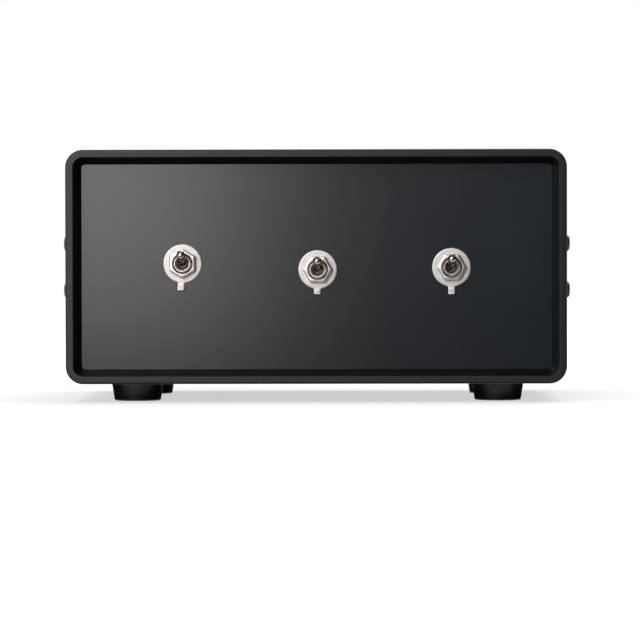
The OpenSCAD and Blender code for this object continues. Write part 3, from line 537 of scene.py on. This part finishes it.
def bushing(i):
    """A threaded bushing with its keyway, bore, frame plate and legs."""
    steps = 72
    chamfer, key_half, key_depth = 0.5, 0.5, 0.5
    mouth_r, lip, lip_depth = 2.19, 0.1, 0.12
    counterbore_r, step_r, step_depth, step_h = 2.08, 1.86, 1.9, 0.1
    seat_r, seat_half, seat_front_soft, seat_back_soft = BALL_R + FIT, 1.0, 0.6, 0.4
    flare_r, back_draft, same_point = 2.36, 0.0001, 0.00001
    place = at_switch(i)

    # The thread has more rows for each turn where it shows
    fine_rows, fine_per_turn, coarse_per_turn = 34, 10, 4
    fine = [MOUTH - THREAD_PITCH * k / fine_per_turn for k in range(fine_rows)]
    coarse = []
    level = fine[-1] - THREAD_PITCH / coarse_per_turn
    while level > FRAME_FRONT:
        coarse.append(level)
        level -= THREAD_PITCH / coarse_per_turn

    def threaded(level):
        row = []
        for k in range(steps):
            turn = 2 * pi * k / steps
            phase = (level / THREAD_PITCH - turn / (2 * pi)) % 1
            r = min(BUSHING_R - THREAD_DEPTH * abs(2 * phase - 1), BUSHING_R - chamfer + (MOUTH - level))
            if abs(r * cos(turn)) < key_half and sin(turn) < 0:
                r = min(r, BUSHING_R - key_depth)
            row.append(place @ Vector((r * cos(turn), r * sin(turn), level)))
        return row

    def ring(r, level):
        return circle(place, r, level, steps)

    bm = bmesh.new()
    surface(bm, [ring(mouth_r + lip, MOUTH), *(threaded(level) for level in fine + coarse + [FRAME_FRONT])])
    bore = rounded([(mouth_r + lip, MOUTH, 0), (mouth_r, MOUTH - lip_depth, 0),
                    (counterbore_r, MOUTH - step_depth, 0), (step_r, MOUTH - step_depth - step_h, 0),
                    (seat_r, PIVOT + seat_half, seat_front_soft), (seat_r, PIVOT - seat_half, seat_back_soft),
                    (flare_r, FRAME_BACK, 0)], closed=False)
    surface(bm, [ring(r, level) for r, level in bore], material=1)
    surface(bm, [ring(flare_r, FRAME_BACK), ring(BUSHING_R, FRAME_BACK - back_draft),
                 ring(BUSHING_R, FRAME_FRONT)])
    bmesh.ops.remove_doubles(bm, verts=bm.verts, dist=same_point)

    # The frame plate stands round the bushing in four bars, and a leg goes back from its top and bottom
    half_w, half_h, clear_r = 6.2, 6.5, 3.02
    leg_half_w, leg_t, leg_l = 4, 0.5, 5
    for low, high in (((-half_w, clear_r, FRAME_BACK), (half_w, half_h, FRAME_FRONT)),
                      ((-half_w, -half_h, FRAME_BACK), (half_w, -clear_r, FRAME_FRONT)),
                      ((-half_w, -clear_r, FRAME_BACK), (-clear_r, clear_r, FRAME_FRONT)),
                      ((clear_r, -clear_r, FRAME_BACK), (half_w, clear_r, FRAME_FRONT)),
                      ((-leg_half_w, half_h - leg_t, FRAME_BACK - leg_l), (leg_half_w, half_h, FRAME_BACK)),
                      ((-leg_half_w, -half_h, FRAME_BACK - leg_l), (leg_half_w, leg_t - half_h, FRAME_BACK))):
        box(bm, low, high, place, soften=0.08)
    piece(f"{SIDES[i]}_threaded_bushing", bm, "case", "switch_nickel", [f"{SIDES[i]}_switch_bushing"],
          ["switch_nickel", "bushing_bore"])


def lever(i):
    """A bat lever with its pivot ball and hollow stem, turned in one."""
    place = at_switch(i) @ moved(0, 0, PIVOT) @ turned(-HALF_SWING, "X")
    arc_steps = 14
    flare = (TIP_R - NECK_R) / LEVER_L
    tip_turns = [-flare + (pi / 2 + flare) * k / arc_steps for k in range(arc_steps)]
    tip = [(TIP_R * cos(t), LEVER_L + TIP_R * sin(t)) for t in tip_turns]
    root_r, root_level = 1.0, 1.38
    first = atan2(-sqrt(BALL_R ** 2 - STEM_R ** 2), STEM_R)
    last = atan2(root_level, root_r)
    ball_turns = [first + (last - first) * k / arc_steps for k in range(arc_steps + 1)]
    ball = [(BALL_R * cos(t), BALL_R * sin(t)) for t in ball_turns]
    swell, swell_from, swell_l = 0.12, 1.45, 0.8
    neck_levels = (1.5, 1.7, 2.0, 2.4, 4.0, 7.0, 10.0)
    neck = [(NECK_R + flare * z + swell * max(0, 1 - (z - swell_from) / swell_l), z) for z in neck_levels]
    bore_r, bore_l, chamfer = 0.78, 4.2, 0.08
    bore_top = STEM_END + bore_l
    profile = [(0, bore_top), (bore_r, bore_top), (bore_r, STEM_END), (STEM_R - chamfer, STEM_END),
               (STEM_R, STEM_END + chamfer), *ball, *neck, *tip, (0, LEVER_L + TIP_R)]
    bm = bmesh.new()
    lathe(bm, profile, place, steps=56, closed=False)
    piece(f"{SIDES[i]}_bat_lever", bm, f"{SIDES[i]}_lever", "lever_chrome", [f"{SIDES[i]}_switch_lever"])


nuts, washers = bmesh.new(), bmesh.new()
for i in range(len(SIDES)):
    bushing(i)
    lever(i)
    hex_nut(nuts, at_switch(i) @ moved(0, 0, WASHER_T) @ turned(NUT_TURN[i], "Z"), BUSHING_R + PIN_FIT)
    lock_washer(washers, at_switch(i) @ turned(WASHER_TURN[i], "Z"), TAB_BEND[i], TAB_L[i])
piece("switch_nut_set", nuts, "case", "switch_nickel", ["switch_front_nuts"])
piece("lock_washer_set", washers, "case", "switch_nickel", ["switch_lock_washers"], ["washer_nickel"])


# Rear sockets

def sockets(name, x):
    """Two turned barrels with flange and thread."""
    bore_soft, mouth_soft, root_soft, flange_soft, back_soft = 0.25, 0.4, 0.15, 0.25, 0.2
    bm = bmesh.new()
    for z in SOCKET_Z:
        lathe(bm, rounded([(BARREL_BORE_R, THREAD_END, 0), (BARREL_BORE_R, SOCKET_MOUTH, bore_soft),
                           (BARREL_R, SOCKET_MOUTH, mouth_soft), (BARREL_R, FLANGE_TOP, root_soft),
                           (FLANGE_R, FLANGE_TOP, flange_soft), (FLANGE_R, RING_T, back_soft),
                           (SOCKET_THREAD_R, RING_T, 0), (SOCKET_THREAD_R, THREAD_END, back_soft)]),
              facing_rear(x, REAR_PANEL_Y, z))
    piece(f"{name}_barrels", bm, "case", "socket_nickel", [f"{name}_sockets"])


def rings(colour, z):
    """A row of insulating rings: one with a shoulder outside the panel and a plain one inside."""
    bm = bmesh.new()
    bore_r, shoulder_r, ring_r, soft, front_soft = 4.1, 4.8, 6.3, 0.1, 0.35
    inner_end = -PANEL_T - INNER_RING_T
    for x in SOCKET_X:
        place = facing_rear(x, REAR_PANEL_Y, z)
        lathe(bm, rounded([(bore_r, RING_T, soft), (ring_r, RING_T, front_soft), (ring_r, 0, soft),
                           (shoulder_r, 0, 0), (shoulder_r, FIT - PANEL_T, soft),
                           (bore_r, FIT - PANEL_T, 0)]), place)
        lathe(bm, rounded([(bore_r, -PANEL_T, 0), (ring_r, -PANEL_T, soft), (ring_r, inner_end, soft),
                           (bore_r, inner_end, 0)]), place)
    piece(f"{colour}_ring_set", bm, "case", f"ring_{colour}", [f"{colour}_insulator_rings"])


def insulator_and_contact(insulators, contacts, place):
    """A socket's insulating tube, and its contact with the plug's hole in front and a tail behind."""
    bore_r, outer_r = CONTACT_R + PIN_FIT, BARREL_BORE_R - PIN_FIT
    bore_soft, outer_soft, soft = 0.15, 0.12, 0.2
    lathe(insulators, rounded([(bore_r, THREAD_END, 0), (bore_r, CONTACT_MOUTH, bore_soft),
                               (outer_r, CONTACT_MOUTH, outer_soft), (outer_r, THREAD_END, 0)]), place)
    bottom, tail_end = CONTACT_MOUTH - CONTACT_BORE_L, THREAD_END - TAIL_L
    lathe(contacts, rounded([(0, bottom, 0), (CONTACT_BORE_R, bottom, 0),
                             (CONTACT_BORE_R, CONTACT_MOUTH, soft), (CONTACT_R, CONTACT_MOUTH, soft),
                             (CONTACT_R, THREAD_END, 0), (TAIL_R, THREAD_END, 0), (TAIL_R, tail_end, soft),
                             (0, tail_end, 0)], closed=False), place, closed=False)


for name, x in zip(("input_one", "input_two", "output"), SOCKET_X):
    sockets(name, x)
rings("red", SOCKET_Z[0])
rings("white", SOCKET_Z[1])
insulators, contacts = bmesh.new(), bmesh.new()
for x in SOCKET_X:
    for z in SOCKET_Z:
        insulator_and_contact(insulators, contacts, facing_rear(x, REAR_PANEL_Y, z))
piece("insulator_set", insulators, "case", "socket_insulator", ["socket_insulators"])
piece("contact_set", contacts, "case", "contact_gold", ["socket_contacts"])


# Studio, in metres

def seen_directly(nodes, links):
    """1 for a ray that shows the background: from the camera, or by way of metal or glass."""
    path = nodes.new("ShaderNodeLightPath")
    either = nodes.new("ShaderNodeMath")
    either.operation = "MAXIMUM"
    links.new(path.outputs["Is Camera Ray"], either.inputs[0])
    links.new(path.outputs["Is Glossy Ray"], either.inputs[1])
    any_of = nodes.new("ShaderNodeMath")
    any_of.operation = "MAXIMUM"
    links.new(either.outputs[0], any_of.inputs[0])
    links.new(path.outputs["Is Transmission Ray"], any_of.inputs[1])
    return any_of.outputs[0]


def mixed(nodes, links, lighting, seen):
    """One shader where a surface only gives light, and another where it is seen directly."""
    choose = nodes.new("ShaderNodeMixShader")
    links.new(seen_directly(nodes, links), choose.inputs["Fac"])
    links.new(lighting.outputs[0], choose.inputs[1])
    links.new(seen.outputs[0], choose.inputs[2])
    return choose.outputs[0]


def white_world():
    """A white background over a dim, even light."""
    world = bpy.data.worlds.new("studio")
    world.use_nodes = True
    nodes, links = world.node_tree.nodes, world.node_tree.links
    ambient = nodes["Background"]
    ambient.inputs["Color"].default_value = (1, 1, 1, 1)
    ambient.inputs["Strength"].default_value = 0.35
    white = nodes.new("ShaderNodeBackground")
    white.inputs["Color"].default_value = (1, 1, 1, 1)
    white.inputs["Strength"].default_value = 1.0
    links.new(mixed(nodes, links, ambient, white), nodes["World Output"].inputs["Surface"])
    return world


def floor_paper():
    """Pale paper that keeps the part's shadow. Seen directly it also glows: weakly near the part, which
    paints a shade round it, and fully away from the part, where it turns white.
    """
    paper = bpy.data.materials.new("floor_paper")
    paper.use_nodes = True
    nodes, links = paper.node_tree.nodes, paper.node_tree.links
    nodes.remove(nodes["Principled BSDF"])
    plain = nodes.new("ShaderNodeBsdfDiffuse")
    plain.inputs["Color"].default_value = (0.8, 0.8, 0.8, 1)
    matt = nodes.new("ShaderNodeBsdfDiffuse")
    matt.inputs["Color"].default_value = (0.45, 0.45, 0.45, 1)
    spot = nodes.new("ShaderNodeTexCoord")
    reach = nodes.new("ShaderNodeVectorMath")
    reach.operation = "LENGTH"
    links.new(spot.outputs["Object"], reach.inputs[0])
    # Seen directly, the paper glows more weakly near the part, a painted shade round it
    rise = nodes.new("ShaderNodeMapRange")
    rise.inputs["From Min"].default_value = 0.1
    rise.inputs["From Max"].default_value = 0.4
    rise.inputs["To Min"].default_value = 0.6
    rise.inputs["To Max"].default_value = 1.0
    links.new(reach.outputs["Value"], rise.inputs["Value"])
    glow = nodes.new("ShaderNodeEmission")
    links.new(rise.outputs["Result"], glow.inputs["Strength"])
    lit_plus_glow = nodes.new("ShaderNodeAddShader")
    links.new(matt.outputs[0], lit_plus_glow.inputs[0])
    links.new(glow.outputs[0], lit_plus_glow.inputs[1])
    links.new(mixed(nodes, links, plain, lit_plus_glow), nodes["Material Output"].inputs["Surface"])
    return paper


def stage_object(name, bm, material):
    """Sets a mesh on the stage, apart from the part."""
    obj = bpy.data.objects.new(name, mesh_of(bm, name))
    bpy.context.scene.collection.objects.link(obj)
    obj.data.materials.append(material)
    return obj


def dark_tent():
    """Dark cloth that metal and gloss mirror, while light and the camera pass it.

    It hangs in a bow before the set and overhead, lies on the floor with gaps before and beside the front
    feet, and stands in two low strips beside the case.
    """
    wall_r, wall_half_turn, wall_steps, wall_levels = 1.7, 95, 30, (-0.1, 1.6)
    low, strip_top, rear_end = 0.0004, 0.02, 0.07
    bm = bmesh.new()
    turns = [radians(-90 + wall_half_turn * k / wall_steps) for k in range(-wall_steps, wall_steps + 1)]
    surface(bm, [[(wall_r * cos(t), wall_r * sin(t), z) for t in turns] for z in wall_levels], around=False)
    for half_w, far, near, z in (
            (1.2, -1.65, -0.105, low), (0.1, -0.075, -0.058, low), (0.1, -0.046, rear_end, low),
            (1.4, -0.8, -0.02, 1.2)):
        surface(bm, [[(sx * half_w, y, z) for sx in (-1, 1)] for y in (far, near)], around=False)
    for x in (-0.1, 0.1):
        surface(bm, [[(x, y, z) for y in (-0.052, rear_end)] for z in (low, strip_top)], around=False)
    cloth = finish("tent_cloth", base=(0.05, 0.05, 0.052), rough=0.9, specular=0.0)
    tent = stage_object("dark_tent", bm, cloth)
    tent.visible_camera = False
    tent.visible_diffuse = False
    tent.visible_shadow = False
    tent.visible_transmission = False


def softbox(name, place, target, size, power, colour=(1, 1, 1)):
    """A rectangular lamp that faces its target and is not seen itself."""
    light = bpy.data.lights.new(name, "AREA")
    light.shape = "RECTANGLE"
    light.size, light.size_y = size
    light.energy = power
    light.color = colour
    obj = bpy.data.objects.new(name, light)
    obj.location = place
    obj.rotation_euler = (Vector(target) - Vector(place)).to_track_quat("-Z", "Y").to_euler()
    bpy.context.scene.collection.objects.link(obj)
    obj.visible_camera = False


def add_camera():
    """The photograph's view: from the middle of the front, turned a little."""
    distance, aside = 1.2, 0.020
    yaw, pitch, roll = 0.897, -0.782, -0.12
    eye = bpy.data.cameras.new("camera")
    eye.sensor_width = 36
    eye.lens = 220.09
    eye.clip_start = 0.05
    camera = bpy.data.objects.new("camera", eye)
    camera.matrix_world = (moved(aside, FRONT_Y * MM - distance, MID_Z * MM)
                           @ turned(yaw, "Z") @ turned(90 + pitch, "X") @ turned(roll, "Z"))
    bpy.context.scene.collection.objects.link(camera)
    bpy.context.scene.camera = camera


bpy.context.scene.world = white_world()
FLOOR_SIZE, FLOOR_DROP = 9, 0.00002
floor = bmesh.new()
bmesh.ops.create_grid(floor, x_segments=1, y_segments=1, size=0.5,
                      matrix=moved(0, 0, -FLOOR_DROP) @ Matrix.Diagonal((FLOOR_SIZE, FLOOR_SIZE, 1, 1)))
stage_object("floor", floor, floor_paper())
softbox("key_softbox", place=(-0.51, -1.1, 0.4), target=(-0.51, 0, 0.4), size=(0.9, 1.1), power=14.25,
        colour=(1, 0.975, 0.985))
softbox("fill_softbox", place=(0.17, -1.28, 0.25), target=(0.17, 0, 0.25), size=(0.3, 0.4), power=0.1,
        colour=(0.85, 0.95, 1))
softbox("top_softbox", place=(0.1, 0.1, 1.3), target=(0, 0, 0.04), size=(1.2, 1.2), power=9.0)
softbox("rear_softbox", place=(0.5, 1.2, 0.7), target=(0, 0.06, 0.04), size=(0.8, 0.6), power=5.0)
dark_tent()
add_camera()
bpy.context.scene.view_settings.view_transform = "Standard"
